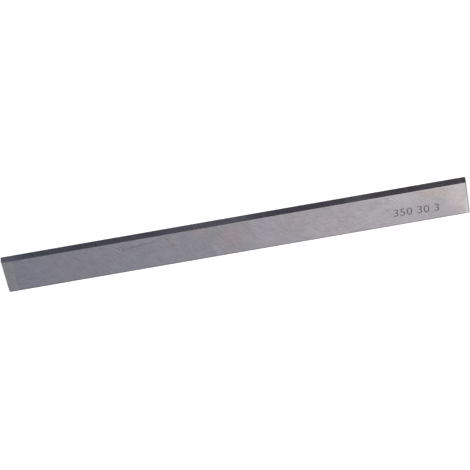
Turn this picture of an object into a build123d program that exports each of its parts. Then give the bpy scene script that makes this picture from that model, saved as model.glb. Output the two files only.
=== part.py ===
from build123d import *
from math import radians, tan
import os

# A straight planer knife: one flat bar of ground high-speed steel with a bevel along one long edge.
# It lies as it comes to rest, on its flat back. The origin is the middle of the underside, +X runs
# along the knife, +Y across it towards the cutting edge, and +Z up through the thickness.
# Lengths are in millimetres and angles in degrees.

# Driving dimensions
LENGTH = 350.0
WIDTH = 30.0
THICKNESS = 3.0
# The wedge that is left at the cutting edge, between the flat back and the bevel
BEVEL_ANGLE = 45.0
# How far each broken arris is set back along the two faces that met in it
ARRIS_BREAK = 0.3

# Places that follow from the driving dimensions
CUTTING_EDGE_Y = WIDTH / 2
REAR_Y = -WIDTH / 2
# The heel is the line where the bevel runs out into the upper face
HEEL_Y = CUTTING_EDGE_Y - THICKNESS / tan(radians(BEVEL_ANGLE))


def knife_section():
    """The section across the knife: ground to a wedge at the front, with its two rear corners broken."""
    with BuildSketch(Plane.YZ) as section:
        with BuildLine():
            Polyline(
                (REAR_Y, 0),
                (CUTTING_EDGE_Y, 0),
                (HEEL_Y, THICKNESS),
                (REAR_Y, THICKNESS),
                close=True,
            )
        make_face()
        # The sketch's own x axis is the knife's Y
        rear_corners = section.vertices().group_by(Axis.X)[0]
        chamfer(rear_corners, ARRIS_BREAK)
    return section.sketch


def end_arrises(bar):
    """The edges round both ends, apart from the bevel's own, which is ground last and stays sharp."""
    ends = bar.faces().filter_by(Axis.X)
    return [edge for edge in ends.edges() if edge.center().Y < HEEL_Y]


def planer_knife():
    """The section run out along the whole length, with the arrises of both ends broken."""
    bar = extrude(knife_section(), LENGTH / 2, both=True)
    return chamfer(end_arrises(bar), ARRIS_BREAK)


os.makedirs("parts", exist_ok=True)
export_step(planer_knife(), "parts/planer_knife.step")
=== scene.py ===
from math import cos, radians, sin, tan

import bpy
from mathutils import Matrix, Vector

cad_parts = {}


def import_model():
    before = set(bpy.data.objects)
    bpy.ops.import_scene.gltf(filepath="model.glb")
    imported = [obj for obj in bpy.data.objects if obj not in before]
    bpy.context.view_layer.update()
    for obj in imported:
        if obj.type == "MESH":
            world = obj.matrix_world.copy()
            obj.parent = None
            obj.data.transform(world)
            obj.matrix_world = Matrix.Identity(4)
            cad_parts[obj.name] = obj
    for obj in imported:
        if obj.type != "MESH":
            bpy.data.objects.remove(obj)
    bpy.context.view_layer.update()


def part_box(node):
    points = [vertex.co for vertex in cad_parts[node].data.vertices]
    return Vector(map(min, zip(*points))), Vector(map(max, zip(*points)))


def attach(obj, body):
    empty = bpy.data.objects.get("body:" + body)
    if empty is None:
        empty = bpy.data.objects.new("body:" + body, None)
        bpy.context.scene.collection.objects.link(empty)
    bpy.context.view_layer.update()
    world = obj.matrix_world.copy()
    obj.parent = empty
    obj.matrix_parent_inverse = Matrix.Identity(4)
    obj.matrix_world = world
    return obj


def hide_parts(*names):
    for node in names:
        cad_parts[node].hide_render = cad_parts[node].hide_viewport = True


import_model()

# Everything is in metres, in the knife's own frame: +X along it, +Y towards the cutting edge, +Z up.
MM = 0.001

# The bar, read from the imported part, and the two sizes of it that a box doesn't tell
LOWEST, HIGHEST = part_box("planer_knife")
LENGTH = HIGHEST.x - LOWEST.x
WIDTH = HIGHEST.y - LOWEST.y
THICKNESS = HIGHEST.z - LOWEST.z
BEVEL_ANGLE = radians(45.0)
ARRIS_BREAK = 0.3 * MM

# The etched mark: the knife's own sizes as plain numbers, set a little askew
MARK_TEXT = "350 30 3"
MARK_CENTRE_X = 136.1 * MM
MARK_CENTRE_Y = -4.65 * MM
MARK_WIDTH = 33.8 * MM
MARK_HEIGHT = 6.0 * MM
STROKE_TRIM = 0.11 * MM
MARK_TURN = radians(-2.0)
ETCH_DEPTH = 0.06 * MM

# The camera stands on the cutting edge's side and looks down on the upper face. Its lens and sensor
# are in millimetres.
CAMERA_PLACE = (0.07945, 0.73871, 1.16872)
CAMERA_TURN = (radians(-32.386), radians(-2.511), radians(-10.065))
CAMERA_LENS = 142.32
CAMERA_SENSOR = 36.0

# The tent that the steel mirrors: cool and dim at the left, warm and bright at the right, and grey far
# out to the left. A sweep is where one colour turns into the next, as a share of a unit direction.
COOL_TENT = (0.190, 0.200, 0.240, 1)
WARM_TENT = (0.91, 0.88, 0.87, 1)
TENT_SWEEP = (-0.14, 0.09)
FAR_LEFT_TENT = (0.75, 0.75, 0.78, 1)
FAR_LEFT_SWEEP = (0.35, 0.65)

# The dark flag in the tent, which the bevel faces: full near its middle and gone beyond its rim
COOL_FLAG = (0.150, 0.150, 0.185, 1)
WARM_FLAG = (0.100, 0.098, 0.111, 1)
FLAG_ELEVATION = radians(34)
FLAG_FULL = radians(9)
FLAG_RIM = radians(24)

# The floor and the lamp that lights it
WHITE = (1, 1, 1, 1)
FLOOR_COLOUR = (0.9, 0.9, 0.9, 1)
FLOOR_REACH = 8.0
LAMP_STRENGTH = 2.4
LAMP_SPREAD = radians(100)


class Socket:
    """One output of a node. Arithmetic on it adds Math nodes to the tree that it belongs to."""

    def __init__(self, graph, output):
        self.graph = graph
        self.output = output

    def __getitem__(self, name):
        """Another output of the same node."""
        return Socket(self.graph, self.output.node.outputs[name])

    def __neg__(self):
        return self.graph.math("MULTIPLY", self, -1.0)

    def __add__(self, other):
        return self.graph.math("ADD", self, other)

    def __radd__(self, other):
        return self.graph.math("ADD", other, self)

    def __sub__(self, other):
        return self.graph.math("SUBTRACT", self, other)

    def __rsub__(self, other):
        return self.graph.math("SUBTRACT", other, self)

    def __mul__(self, other):
        return self.graph.math("MULTIPLY", self, other)

    def __rmul__(self, other):
        return self.graph.math("MULTIPLY", other, self)

    def __truediv__(self, other):
        return self.graph.math("DIVIDE", self, other)

    def __rtruediv__(self, other):
        return self.graph.math("DIVIDE", other, self)

    def __pow__(self, other):
        return self.graph.math("POWER", self, other)

    def __rpow__(self, other):
        return self.graph.math("POWER", other, self)


class Graph:
    """A node tree under construction, of a material, the world or a geometry modifier."""

    def __init__(self, tree):
        self.tree = tree

    def node(self, kind, settings=None, inputs=None, output=0):
        """Adds a node: its settings first, then each input's value, link or list of links."""
        made = self.tree.nodes.new(kind)
        for name, value in (settings or {}).items():
            setattr(made, name, value)
        for name, value in (inputs or {}).items():
            sources = value if isinstance(value, list) else [value]
            for source in sources:
                if isinstance(source, Socket):
                    self.tree.links.new(source.output, made.inputs[name])
                else:
                    made.inputs[name].default_value = source
        return Socket(self, made.outputs[output]) if made.outputs else None

    def math(self, operation, *values):
        """A Math node on these numbers or sockets."""
        return self.node("ShaderNodeMath", {"operation": operation}, dict(enumerate(values)))

    def between(self, value, start, full):
        """0 up to start, 1 from full on and a smooth run from one to the other."""
        return self.node(
            "ShaderNodeMapRange",
            {"interpolation_type": "SMOOTHSTEP"},
            {"Value": value, "From Min": start, "From Max": full},
        )

    def band(self, value, rise, fall):
        """1 from the end of rise to the start of fall, with a smooth run on each side."""
        return self.between(value, *rise) - self.between(value, *fall)

    def vector(self, x, y, z):
        """A vector of three numbers or sockets."""
        return self.node("ShaderNodeCombineXYZ", inputs={0: x, 1: y, 2: z})

    def parts(self, vector):
        """A vector's X, Y and Z."""
        split = self.node("ShaderNodeSeparateXYZ", inputs={0: vector})
        return split["X"], split["Y"], split["Z"]

    def scaled(self, vector, factor):
        """A vector or a colour times a number."""
        return self.node("ShaderNodeVectorMath", {"operation": "SCALE"}, {0: vector, "Scale": factor})

    def noise(self, x, y, z):
        """Noise from about -1 to 1, where each argument counts the grains along that way.

        A number added to an argument, or in place of one, picks a pattern of its own.
        """
        made = self.node("ShaderNodeTexNoise", inputs={"Vector": self.vector(x, y, z), "Scale": 1.0})
        return made["Fac"] * 2 - 1

    def mix(self, factor, one, other):
        """One colour where factor is 0 and the other where it is 1."""
        return self.node(
            "ShaderNodeMix", {"data_type": "RGBA"}, {"Factor": factor, 6: one, 7: other}, output=2
        )

    def placed(self, geometry, **how):
        """The geometry with this Translation, Rotation or Scale."""
        return self.node("GeometryNodeTransform", inputs={"Geometry": geometry, **how})


def add_object(name, data):
    """A new object in the scene."""
    made = bpy.data.objects.new(name, data)
    bpy.context.scene.collection.objects.link(made)
    return made


def new_material(name):
    """A material with an empty tree, and the graph that fills it."""
    made = bpy.data.materials.new(name)
    made.use_nodes = True
    made.node_tree.nodes.clear()
    return made, Graph(made.node_tree)


# The studio

def world():
    """The tent and the flag that the steel mirrors. To the camera itself, all beyond the floor is white."""
    made = bpy.data.worlds.new("studio")
    bpy.context.scene.world = made
    made.use_nodes = True
    made.node_tree.nodes.clear()
    g = Graph(made.node_tree)
    x, y, z = g.parts(g.node("ShaderNodeTexCoord")["Generated"])
    sweep = g.between(x, *TENT_SWEEP)
    tent = g.mix(sweep, COOL_TENT, WARM_TENT)
    tent = g.mix(g.between(-x, *FAR_LEFT_SWEEP), tent, FAR_LEFT_TENT)
    near_flag = y * cos(FLAG_ELEVATION) + z * sin(FLAG_ELEVATION)
    flag = g.between(near_flag, cos(FLAG_RIM), cos(FLAG_FULL))
    tent = g.mix(flag, tent, g.mix(sweep, COOL_FLAG, WARM_FLAG))
    to_camera = g.node("ShaderNodeLightPath")["Is Camera Ray"]
    background = g.node("ShaderNodeBackground", inputs={"Color": g.mix(to_camera, tent, WHITE)})
    g.node("ShaderNodeOutputWorld", inputs={"Surface": background})


def floor_lamp():
    """A wide lamp overhead, which lights the floor and which the steel doesn't mirror."""
    data = bpy.data.lights.new("floor_lamp", "SUN")
    data.energy = LAMP_STRENGTH
    data.angle = LAMP_SPREAD
    made = add_object("floor_lamp", data)
    made.location = (0, 0, 1)
    made.visible_glossy = False


def floor():
    """A plain pale floor, wide enough to fill the picture from any side."""
    corners = [(x * FLOOR_REACH, y * FLOOR_REACH, 0) for x, y in ((-1, -1), (1, -1), (1, 1), (-1, 1))]
    mesh = bpy.data.meshes.new("floor")
    mesh.from_pydata(corners, [], [(0, 1, 2, 3)])
    made = add_object("floor", mesh)
    made.location.z = LOWEST.z
    material, g = new_material("pale_floor")
    shader = g.node(
        "ShaderNodeBsdfPrincipled",
        inputs={"Base Color": FLOOR_COLOUR, "Roughness": 0.9, "Specular IOR Level": 0.0},
    )
    g.node("ShaderNodeOutputMaterial", inputs={"Surface": shader})
    mesh.materials.append(material)


def camera():
    """The camera, where the photograph was taken from."""
    data = bpy.data.cameras.new("camera")
    data.sensor_width = CAMERA_SENSOR
    data.lens = CAMERA_LENS
    made = add_object("camera", data)
    made.location = CAMERA_PLACE
    made.rotation_euler = CAMERA_TURN
    bpy.context.scene.camera = made


# The knife's shape, worked out by a geometry tree in the order in which the real one is made

def finished(g, geometry, material, where=True):
    """The geometry with this material on the faces where the selection holds."""
    return g.node(
        "GeometryNodeSetMaterial", inputs={"Geometry": geometry, "Selection": where, "Material": material}
    )


def cut_away(g, block, cutters):
    """The block with the cutters taken out of it."""
    return g.node(
        "GeometryNodeMeshBoolean",
        {"operation": "DIFFERENCE", "solver": "EXACT"},
        {"Mesh 1": block, "Mesh 2": cutters},
    )


def blank(g, given):
    """The bar before its edges are ground, with its four narrow sides in the edges' finish."""
    size = g.vector(given["Length"], given["Width"], given["Thickness"])
    bar = g.node("GeometryNodeMeshCube", inputs={"Size": size})
    bar = g.placed(bar, Translation=g.vector(0.0, 0.0, given["Thickness"] / 2))
    _, _, facing_up = g.parts(g.node("GeometryNodeInputNormal"))
    on_side = g.math("LESS_THAN", g.math("ABSOLUTE", facing_up), 0.5)
    return finished(g, finished(g, bar, given["Ground Steel"]), given["Edge Steel"], on_side)


def wheel_pass(g, point, outward):
    """The space that one pass of the grinding wheel clears: all beyond the plane through point."""
    reach = 2 * LENGTH
    block = g.node("GeometryNodeMeshCube", inputs={"Size": (reach, reach, reach)})
    stood = g.placed(block, Translation=(0, 0, reach / 2))
    turn = g.node("FunctionNodeAlignRotationToVector", {"axis": "Z"}, {"Vector": outward})
    return g.placed(stood, Translation=point, Rotation=turn)


def wheel_passes(g, given):
    """The pass that grinds the bevel, and those that break the arrises of the rear edge and the ends."""
    end, edge = given["Length"] / 2, given["Width"] / 2
    slope, arris = given["Bevel Angle"], given["Arris Break"]
    out_of_bevel = g.vector(0.0, g.math("SINE", slope), g.math("COSINE", slope))
    bevel = wheel_pass(g, g.vector(0.0, edge, 0.0), out_of_bevel)
    breaks = []
    for up, level in ((1, given["Thickness"] - arris), (-1, arris)):
        breaks.append(wheel_pass(g, g.vector(0.0, -edge, level), (0, -1, up)))
        for side in (1, -1):
            breaks.append(wheel_pass(g, g.vector(end * side, 0.0, level), (side, 0, up)))
    for side in (1, -1):
        breaks.append(wheel_pass(g, g.vector(end * side, arris - edge, 0.0), (side, -1, 0)))
    passes = [finished(g, bevel, given["Bevel Steel"])]
    passes.extend(finished(g, arris_break, given["Edge Steel"]) for arris_break in breaks)
    return passes


def etched_numbers(g, given):
    """The numbers as closed solids that reach through the upper face down to the etch's floor."""
    strings = g.node("GeometryNodeStringToCurves", inputs={"String": given["Mark"], "Size": 1.0})
    outlines = g.node("GeometryNodeRealizeInstances", inputs={"Geometry": strings})
    outlines = g.node("GeometryNodeResampleCurve", {"mode": "EVALUATED"}, {"Curve": outlines})
    box = g.node("GeometryNodeBoundBox", inputs={"Geometry": outlines, "Use Radius": False})
    left, bottom, _ = g.parts(box["Min"])
    right, top, _ = g.parts(box["Max"])
    centred = g.placed(outlines, Translation=g.vector((left + right) / -2, (bottom + top) / -2, 0.0))

    # The font's strokes are too heavy, so they are trimmed all round after the sizing
    trim, depth = given["Stroke Trim"], given["Etch Depth"]
    wide = (given["Mark Width"] + trim * 2) / (right - left)
    tall = (given["Mark Height"] + trim * 2) / (top - bottom)
    sized = g.placed(centred, Scale=g.vector(wide, tall, 1.0))
    tangent = g.node("GeometryNodeInputTangent")
    sideways = g.node("ShaderNodeVectorMath", {"operation": "CROSS_PRODUCT"}, {0: (0, 0, 1), 1: tangent})
    trimmed = g.node(
        "GeometryNodeSetPosition", inputs={"Geometry": sized, "Offset": g.scaled(sideways, trim)}
    )
    flat = g.node("GeometryNodeFillCurve", {"mode": "TRIANGLES"}, {"Curve": trimmed})

    place = g.vector(given["Mark X"], given["Mark Y"], given["Thickness"] - depth)
    laid = g.placed(flat, Translation=place, Rotation=g.vector(0.0, 0.0, given["Mark Turn"]))
    raised = g.node(
        "GeometryNodeExtrudeMesh",
        {"mode": "FACES"},
        {"Mesh": laid, "Offset": g.vector(0.0, 0.0, 1.0), "Offset Scale": depth * 2, "Individual": False},
    )
    base = g.node("GeometryNodeFlipFaces", inputs={"Mesh": laid})
    shell = g.node("GeometryNodeJoinGeometry", inputs={"Geometry": [raised, base]})
    return g.node("GeometryNodeMergeByDistance", inputs={"Geometry": shell, "Distance": depth / 100})


def knife_tree(values):
    """The tree of the whole knife: a blank, what the wheel's passes leave of it, and the etched mark."""
    tree = bpy.data.node_groups.new("ground_knife", "GeometryNodeTree")
    kinds = {float: "NodeSocketFloat", str: "NodeSocketString", bpy.types.Material: "NodeSocketMaterial"}
    for name, value in values.items():
        tree.interface.new_socket(name, in_out="INPUT", socket_type=kinds[type(value)])
    tree.interface.new_socket("Knife", in_out="OUTPUT", socket_type="NodeSocketGeometry")
    g = Graph(tree)
    given = g.node("NodeGroupInput")
    ground = cut_away(g, blank(g, given), wheel_passes(g, given))
    marked = cut_away(g, ground, [finished(g, etched_numbers(g, given), given["Etched Steel"])])
    whole = g.node("GeometryNodeRealizeInstances", inputs={"Geometry": marked})
    whole = g.node("GeometryNodeSetShadeSmooth", inputs={"Geometry": whole, "Shade Smooth": False})

    # The etch's floor and walls, told by their height
    _, _, height = g.parts(g.node("GeometryNodeInputPosition"))
    depth = given["Etch Depth"]
    in_etch = g.math("COMPARE", height, given["Thickness"] - depth * 0.6, depth * 0.5)
    whole = finished(g, whole, given["Etched Steel"], in_etch)
    g.node("NodeGroupOutput", inputs={"Knife": whole})
    return tree


def knife_mesh(values):
    """The plain mesh that the knife's tree makes of these values."""
    source = add_object("knife_source", bpy.data.meshes.new("knife_source"))
    modifier = source.modifiers.new("ground_knife", "NODES")
    modifier.node_group = knife_tree(values)
    for item in modifier.node_group.interface.items_tree:
        if item.in_out == "INPUT":
            modifier[item.identifier] = values[item.name]
    depsgraph = bpy.context.evaluated_depsgraph_get()
    mesh = bpy.data.meshes.new_from_object(source.evaluated_get(depsgraph), depsgraph=depsgraph)
    bpy.data.objects.remove(source)
    # The cubes that the tree starts from leave an empty material slot
    for index in reversed(range(len(mesh.materials))):
        if mesh.materials[index] is None:
            mesh.materials.pop(index=index)
    return mesh


def knife(finishes):
    """The dressed knife, which stands for the CAD model's bar."""
    sizes = {
        "Length": LENGTH,
        "Width": WIDTH,
        "Thickness": THICKNESS,
        "Bevel Angle": BEVEL_ANGLE,
        "Arris Break": ARRIS_BREAK,
        "Mark": MARK_TEXT,
        "Mark X": MARK_CENTRE_X,
        "Mark Y": MARK_CENTRE_Y,
        "Mark Width": MARK_WIDTH,
        "Mark Height": MARK_HEIGHT,
        "Stroke Trim": STROKE_TRIM,
        "Mark Turn": MARK_TURN,
        "Etch Depth": ETCH_DEPTH,
    }
    made = add_object("ground_knife", knife_mesh({**sizes, **finishes}))
    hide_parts("planer_knife")
    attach(made, "root")


# The finishes. Their patterns are worked out in millimetres from the knife's own X, Y and Z, and a
# tone is a factor on the steel's colour.
HEEL = (HIGHEST.y - THICKNESS / tan(BEVEL_ANGLE)) / MM
REAR = LOWEST.y / MM
LEFT = LOWEST.x / MM
RIGHT = HIGHEST.x / MM

# The cup wheel left arcs of this radius: most curve about centres beyond the rear edge, and fewer
# about centres beyond the cutting edge, from the wheel's other side
WHEEL_RADIUS = 100.0
REAR_CENTRE_Y = -65.8
FRONT_CENTRE_Y = 62.8

# Places along the knife where a finish or a painted highlight or shade changes, each from where the
# change starts to where it is full, and bands, each with such a place at either side
# The next two are shades painted along the very ends
LEFT_END_SHADE = (LEFT + 0.5, LEFT + 1.0)
RIGHT_END_SHADE = (RIGHT - 0.8, RIGHT - 0.6)
LEFT_END = (LEFT + 7, LEFT + 9)
BLUE_END = (LEFT + 29, LEFT + 43)
FACE_WARMS = (-40, 120)
BEVEL_LOSES_BLUE = (-150, -80)
# Where the bevel's colour darkens, partly as painted shade
BEVEL_DARKENS = (0, 50)
BLOTCHES = ((35, 60), (105, 125))
# Where the highlight painted along the heel is brightest
BRIGHTEST_HEEL_HIGHLIGHT = ((80, 120), (158, 166))
# A highlight band painted near the right end
RIGHT_HIGHLIGHT_BAND = ((RIGHT - 3.1, RIGHT - 2.0), (RIGHT - 1.2, RIGHT - 0.7))

# Such places across the knife, and the line between its rubbed sides
# A highlight painted on the face just inside the bevel's heel
HEEL_HIGHLIGHT = (HEEL - 1.6, HEEL - 0.7)
# A shadow line painted on the face along the bevel's heel
HEEL_SHADOW_LINE = (HEEL - 0.37, HEEL - 0.27)
# A shade painted on the face along the rear edge
REAR_SHADE = (REAR + 0.5, REAR + 1.3)
REAR_HALF = (-3, 2)
FACE_MIDDLE = -1.5
FROM_MIDDLE_TO_RUBBED = (9.5, 12.5)

# The lines where the left end's crosswise grinding stops: start, end and half width
LIGHT_LINE = ((LEFT + 6.6, 11), (LEFT + 7.0, -4), 0.8)
GREY_LINE = ((LEFT + 7.6, 4), (LEFT + 8.6, -15), 1.3)

# How dark the heel's painted shadow line is at the left end, and how much more it is past each place
HEEL_SHADOW_DEPTH = 0.46
HEEL_SHADOW_DEEPENS = (((-160, -140), 0.26), ((-75, -10), 0.25))

# The tone of the plain face, that of the deepest streaks, and the floor where dark lines cross
FACE_TONE = 1.008
DEEPEST_STREAK = -0.18
DARKEST = 0.2

# The colours of bare steel, of the films that grinding's heat left on it, and of painted highlights
COOL_STEEL = (0.582, 0.579, 0.612, 1)
DULL_STEEL = (0.590, 0.581, 0.596, 1)
WARM_STEEL = (0.606, 0.586, 0.602, 1)
# The next two are colours of painted highlights, not of the steel
HIGHLIGHT_STEEL = (0.730, 0.715, 0.720, 1)
PALE_HIGHLIGHT = (0.745, 0.698, 0.700, 1)
PALE_BLUE = (0.645, 0.652, 0.692, 1)
BLUE = (0.555, 0.575, 0.650, 1)
VIOLET = (0.572, 0.555, 0.642, 1)
ROSE = (0.650, 0.570, 0.600, 1)
STRAW = (0.660, 0.593, 0.540, 1)
GREEN_GREY = (0.570, 0.595, 0.570, 1)

# The darker colours of the bevel, the edges and the etch. The bevel's are partly a painted shade.
LEFT_BEVEL = (0.248, 0.264, 0.302, 1)
MIDDLE_BEVEL = (0.262, 0.260, 0.304, 1)
RIGHT_BEVEL = (0.228, 0.216, 0.246, 1)
DARK_EDGE = (0.22, 0.22, 0.24, 1)
LIGHT_EDGE = (0.30, 0.29, 0.31, 1)
DARK_ETCH = (0.134, 0.122, 0.121, 1)
LIGHT_ETCH = (0.252, 0.230, 0.228, 1)

# Heat tints that stand out and two painted highlights: colour, strength, centre and half extents
TINTS_AND_HIGHLIGHTS = (
    (BLUE, 0.9, (-156, -1), (16, 26)),
    (VIOLET, 0.5, (-126, 6), (16, 10)),
    (VIOLET, 0.5, (-102, -4), (12, 11)),
    (BLUE, 0.5, (-80, -9), (14, 6)),
    (VIOLET, 0.4, (-72, -11), (14, 6)),
    (VIOLET, 0.7, (-60, 0), (16, 18)),
    (VIOLET, 0.8, (-45, -7), (10, 6)),
    (STRAW, 0.4, (-46, 4), (6, 6)),
    (ROSE, 0.7, (-25, 9), (8, 4)),
    (ROSE, 0.8, (-4, 0), (12, 14)),
    (STRAW, 0.4, (-4, 3), (5, 4)),
    (VIOLET, 0.6, (22, 4), (12, 12)),
    (GREEN_GREY, 0.4, (41, -3), (8, 5)),
    (ROSE, 0.5, (47, 5), (8, 4)),
    (ROSE, 0.3, (74, -2), (20, 14)),
    (PALE_BLUE, 0.7, (127, 7), (15, 8)),
    (VIOLET, 0.4, (133, -4), (10, 8)),
    (STRAW, 0.7, (145, 9), (8, 5)),
    (STRAW, 0.7, (155, 7), (9, 7)),
    (GREEN_GREY, 0.7, (153, -6), (8, 9)),
    (ROSE, 0.8, (166, -8), (8, 6)),
    # The next two are highlights painted on the face at the right end
    (PALE_HIGHLIGHT, 0.9, (170, 1), (11, 20)),
    (HIGHLIGHT_STEEL, 0.7, (169, 11), (9, 4)),
)

# Stretches of the upper face that came out lighter or darker: amount, centre and half extents
FACE_CLOUDS = (
    (0.035, (-173, 5), (4, 14)),
    (-0.025, (-159, -1), (9, 9)),
    (0.020, (-136, 2), (11, 18)),
    (-0.018, (-70, -3), (20, 14)),
    (-0.052, (-22, -1), (40, 30)),
    (-0.025, (0, -6), (9, 9)),
    (0.045, (24, 3), (14, 24)),
    (0.040, (64, -5), (18, 10)),
    (0.022, (94, 2), (24, 20)),
    (0.035, (128, 6), (12, 8)),
    (-0.045, (150, -11), (12, 6)),
    (-0.050, (165, -12), (9, 7)),
    (0.050, (159, 6), (9, 7)),
)

# Single marks that stand out: how much brighter or darker, start, end and half width
MARKS = (
    (-0.12, (-83, 5.4), (-68, 6.6), 1.4),
    (-0.14, (-76, 6.2), (-59, 7.2), 0.8),
    (-0.10, (-86.5, 8.5), (-83.5, 4.8), 0.8),
    (-0.10, (-90.5, 10.5), (-86.5, 5.5), 0.7),
    (-0.22, (-51, 8.5), (-45, 0.5), 0.7),
    (0.16, (-16.5, -6), (-14, -9), 0.9),
    (0.10, (-93.5, 4), (-89.5, -2), 0.7),
    (0.08, (-94, -7), (-90, -12), 0.7),
    (0.12, (28.5, 7.5), (34, 0.3), 0.6),
    (-0.08, (30.5, 7.5), (36, 0.5), 0.6),
    (0.10, (20.5, -3), (27.5, -10.5), 0.7),
    (-0.07, (67, 1.5), (85, -0.8), 1.2),
    (-0.08, (83, -4), (88, -7), 1.1),
    (-0.07, (92, 7), (98, 1), 0.9),
    (0.07, (162.5, 7), (165, 1.5), 0.9),
)

# Where the arcs show most: centre and half extents
STREAKED = (
    ((-92, 0), (13, 14)),
    ((-12, -9), (9, 7)),
    ((26, 3), (20, 11)),
    ((121, 6), (16, 9)),
)

# Stretches of the bevel that came out lighter or darker: amount, middle and half length
BEVEL_CLOUDS = (
    (0.50, -175, 16),
    (-0.16, -112, 12),
    (0.12, -43, 8),
    (0.34, -14, 36),
    (0.14, 6, 7),
    (-0.08, 36, 7),
    (0.34, 96, 10),
)


def place_in_mm(g):
    """The point's X, Y and Z in millimetres."""
    return g.parts(g.scaled(g.node("ShaderNodeTexCoord")["Object"], 1 / MM))


def finish(g, colour, roughness, height, depth):
    """The closing shader of a bare steel surface, whose relief is depth millimetres for a height of 1."""
    relief = g.node("ShaderNodeBump", inputs={"Height": height, "Distance": depth * MM})
    shader = g.node(
        "ShaderNodeBsdfPrincipled",
        inputs={"Base Color": colour, "Metallic": 1.0, "Roughness": roughness, "Normal": relief},
    )
    g.node("ShaderNodeOutputMaterial", inputs={"Surface": shader})


def upper_side(g, z):
    """1 on the upper face and 0 on the back."""
    return g.between(z, 1.0, 2.0)


def spot(g, x, y, centre, reach, wander):
    """1 at the centre of an uneven patch and 0 outside it."""
    along = (x - centre[0]) / reach[0]
    across = (y - centre[1]) / reach[1]
    distance = g.math("SQRT", along * along + across * across) + wander
    return 1 - g.between(distance, 0.2, 1.2)


def stroke(g, x, y, start, end, half_width):
    """1 on the line from start to end and 0 beyond its half width."""
    run = (end[0] - start[0], end[1] - start[1])
    length_squared = run[0] ** 2 + run[1] ** 2
    share = (x - start[0]) * (run[0] / length_squared) + (y - start[1]) * (run[1] / length_squared)
    share = g.math("MINIMUM", g.math("MAXIMUM", share, 0.0), 1.0)
    off_x = x - (share * run[0] + start[0])
    off_y = y - (share * run[1] + start[1])
    return 1 - g.between(g.math("SQRT", off_x * off_x + off_y * off_y), half_width * 0.2, half_width * 1.3)


def tints_and_highlights(g, x, y, z):
    """The steel's colour, with the faint films that grinding's heat left and two painted highlights."""
    drift = g.noise(x / 30, y / 22, z + 14.6)
    blotch = g.noise(x / 17, y / 10, z + 9.2)
    wander = g.noise(x / 6, y / 5, 17.0) * 0.5
    upper = upper_side(g, z)
    colour = g.mix(g.between(x, *FACE_WARMS), COOL_STEEL, WARM_STEEL)
    colour = g.mix(g.between(drift, -0.25, 0.45) * 0.5, colour, VIOLET)
    colour = g.mix(g.between(blotch, 0.0, 0.7) * 0.4, colour, ROSE)
    colour = g.mix(g.between(-blotch, 0.1, 0.8) * 0.25, colour, GREEN_GREY)
    for tint, strength, centre, reach in TINTS_AND_HIGHLIGHTS:
        colour = g.mix(spot(g, x, y, centre, reach, wander) * upper * strength, colour, tint)
    return colour


def wheel_grain(g, x, y, z):
    """Coarse, medium and fine streaks along the arcs about the centres beyond the rear edge."""
    arc = x - g.math("SQRT", WHEEL_RADIUS**2 - (y - REAR_CENTRE_Y) ** 2)
    coarse = g.noise(arc / 3.2, y / 12, z + 4.1)
    medium = g.noise(arc / 1.2, y / 7, z + 6.3)
    fine = g.noise(arc / 0.4, y / 6, z + 7.7)
    return coarse, medium, fine


def crossing_arcs(g, x, y, z):
    """Streaks along the arcs about the centres beyond the cutting edge, which show in patches."""
    arc = x + g.math("SQRT", WHEEL_RADIUS**2 - (y - FRONT_CENTRE_Y) ** 2)
    patches = g.between(g.noise(x / 11, y / 8, z + 26.8), -0.2, 0.4)
    return g.noise(arc / 1.3, y / 7, z + 11.9) * patches


def face_streaks(g, x, y, z, grain, mottle, wander):
    """How much the arcs, the lengthwise rubbing and the mottling change the tone."""
    coarse, medium, fine = grain
    left_end = 1 - g.between(x, *LEFT_END)
    blue_end = g.band(x, LEFT_END, BLUE_END)
    blotched = g.band(x, *BLOTCHES)
    patches = g.between(g.noise(x / 13, y / 9, z + 21.3), -0.35, 0.35) * 0.6 + 0.3
    patches = patches + sum(spot(g, x, y, centre, reach, wander) for centre, reach in STREAKED) * 0.9
    arcs = (coarse * 0.02 + medium * 0.12 + fine * 0.30) * patches * (1 - blotched * 0.3)
    arcs = arcs * (1 - blue_end * 0.8) * (1 - left_end * 0.9)
    crossed = crossing_arcs(g, x, y, z) * 0.12 * (1 - left_end)

    # The rubbing is strongest at the blue end, and along the heel and the rear edge
    rubbed_side = g.between(g.math("ABSOLUTE", y - FACE_MIDDLE), *FROM_MIDDLE_TO_RUBBED)
    rubbed_most = blue_end + rubbed_side * 0.7
    rubbed = g.noise(x / 8, y / 0.8, z + 2.9) * (rubbed_most * 0.16 + 0.10) * (1 - left_end)
    speckled = g.noise(x / 1.2, y / 1.0, z + 5.2) * 0.20
    mottled = mottle * (blotched * 0.14 + 0.07)
    return g.math("MAXIMUM", arcs + crossed + rubbed + speckled + mottled, DEEPEST_STREAK)


def face_clouds(g, x, y, z, wander):
    """How much the lighter and darker stretches of the upper face change its tone."""
    clouds = (spot(g, x, y, centre, reach, wander) * amount for amount, centre, reach in FACE_CLOUDS)
    return sum(clouds) * upper_side(g, z)


def single_marks(g, x, y, z):
    """How much the marks that stand out on the upper face change its tone."""
    waver = y + g.noise(x / 5, y / 5, 35.0) * 1.5
    faded = g.between(g.noise(x / 3, y / 3, 37.0), -0.8, 0.2) * upper_side(g, z)
    return sum(stroke(g, x, waver, *line) * amount for amount, *line in MARKS) * faded


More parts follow.
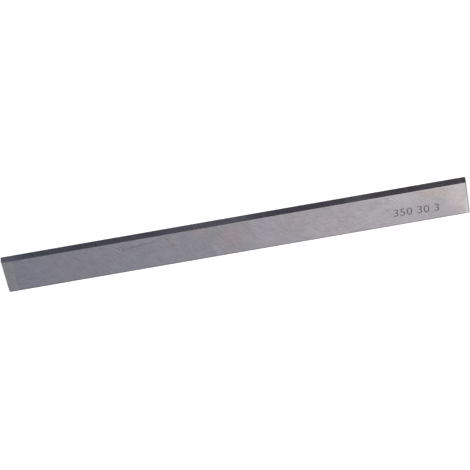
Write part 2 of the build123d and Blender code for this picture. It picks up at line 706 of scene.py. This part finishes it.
def long_lines(g, x, y, z):
    """Painted highlight and shadow line at the bevel's heel, and painted shade along the rear edge."""
    # A highlight painted along the heel
    heel_highlight = g.between(y, *HEEL_HIGHLIGHT) * (g.band(x, *BRIGHTEST_HEEL_HIGHLIGHT) * 0.07 + 0.06)
    depth = HEEL_SHADOW_DEPTH + sum(g.between(x, *place) * more for place, more in HEEL_SHADOW_DEEPENS)
    # A shadow line painted along the heel
    heel_shadow_line = g.between(y, *HEEL_SHADOW_LINE) * depth
    # A shade painted along the rear edge
    rear_shade = 1 - g.between(y, *REAR_SHADE)
    return (heel_highlight - heel_shadow_line) * upper_side(g, z) - rear_shade * 0.4


def with_left_end(g, x, y, tone, colour):
    """Adds the left end, ground crosswise, with a light and a grey line where that stops."""
    ground_across = 1 - g.between(x, *LEFT_END)
    crosswise = g.noise(x / 1.0, y / 18, 31.0) * 0.34 + 0.05
    grey_line = stroke(g, x, y, *GREY_LINE)
    light_line = stroke(g, x, y, *LIGHT_LINE)
    # A shade painted along the very end of the face
    end_shade = 1 - g.between(x, *LEFT_END_SHADE)
    tone = tone + ground_across * crosswise + light_line * 0.10 - grey_line * 0.06 - end_shade * 0.34
    colour = g.mix(ground_across, colour, DULL_STEEL)
    colour = g.mix(grey_line * 0.25, colour, GREEN_GREY)
    return tone, colour


def with_right_end(g, x, y, tone, colour):
    """Adds the right end's painted highlight band, brightest near the rear edge, and painted end shade."""
    near_rear = 1 - g.between(y, *REAR_HALF)
    # A highlight painted in a band near the right end, brightest near the rear edge
    highlight_band = g.band(x, *RIGHT_HIGHLIGHT_BAND)
    # A shade painted along the very end
    end_shade = g.between(x, *RIGHT_END_SHADE)
    tone = tone + highlight_band * (near_rear * 0.18 - 0.04) - end_shade * (0.28 - near_rear * 0.06)
    colour = g.mix(highlight_band * 0.7, colour, HIGHLIGHT_STEEL)
    return tone, colour


def ground_face():
    """The two wide faces: ground in shallow arcs and rubbed lengthwise, with faint heat tints."""
    made, g = new_material("ground_face")
    x, y, z = place_in_mm(g)
    coarse, medium, fine = wheel_grain(g, x, y, z)
    mottle = g.noise(x / 5.5, y / 2.6, z + 18.4)
    wander = g.noise(x / 6, y / 5, 41.0) * 0.4
    tone = FACE_TONE + face_streaks(g, x, y, z, (coarse, medium, fine), mottle, wander)
    tone = tone + face_clouds(g, x, y, z, wander) + single_marks(g, x, y, z) + long_lines(g, x, y, z)
    colour = tints_and_highlights(g, x, y, z)
    tone, colour = with_left_end(g, x, y, tone, colour)
    tone, colour = with_right_end(g, x, y, tone, colour)
    tone = g.math("MAXIMUM", tone, DARKEST)
    roughness = 0.30 + medium * 0.03 + fine * 0.04 + mottle * 0.02
    finish(g, g.scaled(colour, tone), roughness, medium * 0.5 + fine * 0.5, depth=0.0012)
    return made


def ground_bevel():
    """The bevel, ground last and across: finer than the faces, and darker, partly as painted shade."""
    made, g = new_material("ground_bevel")
    x, y, z = place_in_mm(g)
    across = x - z * 0.7
    coarse = g.noise(across / 2.0, z / 1.8, 3.3)
    fine = g.noise(across / 0.45, z / 5, 8.8)
    cloud = g.noise(x / 9, z / 5, 5.5)
    tone = 1 + coarse * 0.22 + fine * 0.24 + cloud * 0.12
    for amount, middle, half_length in BEVEL_CLOUDS:
        away = g.math("ABSOLUTE", x + cloud * 4 - middle)
        tone = tone + (1 - g.between(away, half_length * 0.3, half_length * 1.2)) * amount
    colour = g.mix(g.between(x, *BEVEL_LOSES_BLUE), LEFT_BEVEL, MIDDLE_BEVEL)
    colour = g.mix(g.between(x, *BEVEL_DARKENS), colour, RIGHT_BEVEL)
    roughness = 0.28 + fine * 0.03 + cloud * 0.03
    finish(g, g.scaled(colour, tone), roughness, coarse * 0.5 + fine * 0.5, depth=0.0006)
    return made


def ground_edge():
    """The rear edge, the ends and the broken arrises: ground lengthwise and duller."""
    made, g = new_material("ground_edge")
    x, y, z = place_in_mm(g)
    lines = g.noise(x / 30, y / 0.3, z / 0.2)
    mottle = g.noise(x / 5, y / 5, z / 2)
    colour = g.mix(g.between(mottle, -0.5, 0.5), DARK_EDGE, LIGHT_EDGE)
    finish(g, g.scaled(colour, 1 + lines * 0.1), 0.42 + lines * 0.08, lines, depth=0.003)
    return made


def etched_mark():
    """The floor and walls of the etched numbers: matt and dark."""
    made, g = new_material("etched_mark")
    x, y, z = place_in_mm(g)
    grain = g.noise(x / 0.15, y / 0.15, z / 0.15)
    mottle = g.noise(x / 0.9, y / 0.9, z)
    colour = g.mix(g.between(mottle, -0.5, 0.5), DARK_ETCH, LIGHT_ETCH)
    finish(g, g.scaled(colour, 1 + grain * 0.15), 0.6 + grain * 0.1, grain, depth=0.004)
    return made


bpy.context.scene.view_settings.view_transform = "Standard"
world()
floor_lamp()
floor()
camera()
knife({
    "Ground Steel": ground_face(),
    "Bevel Steel": ground_bevel(),
    "Edge Steel": ground_edge(),
    "Etched Steel": etched_mark(),
})
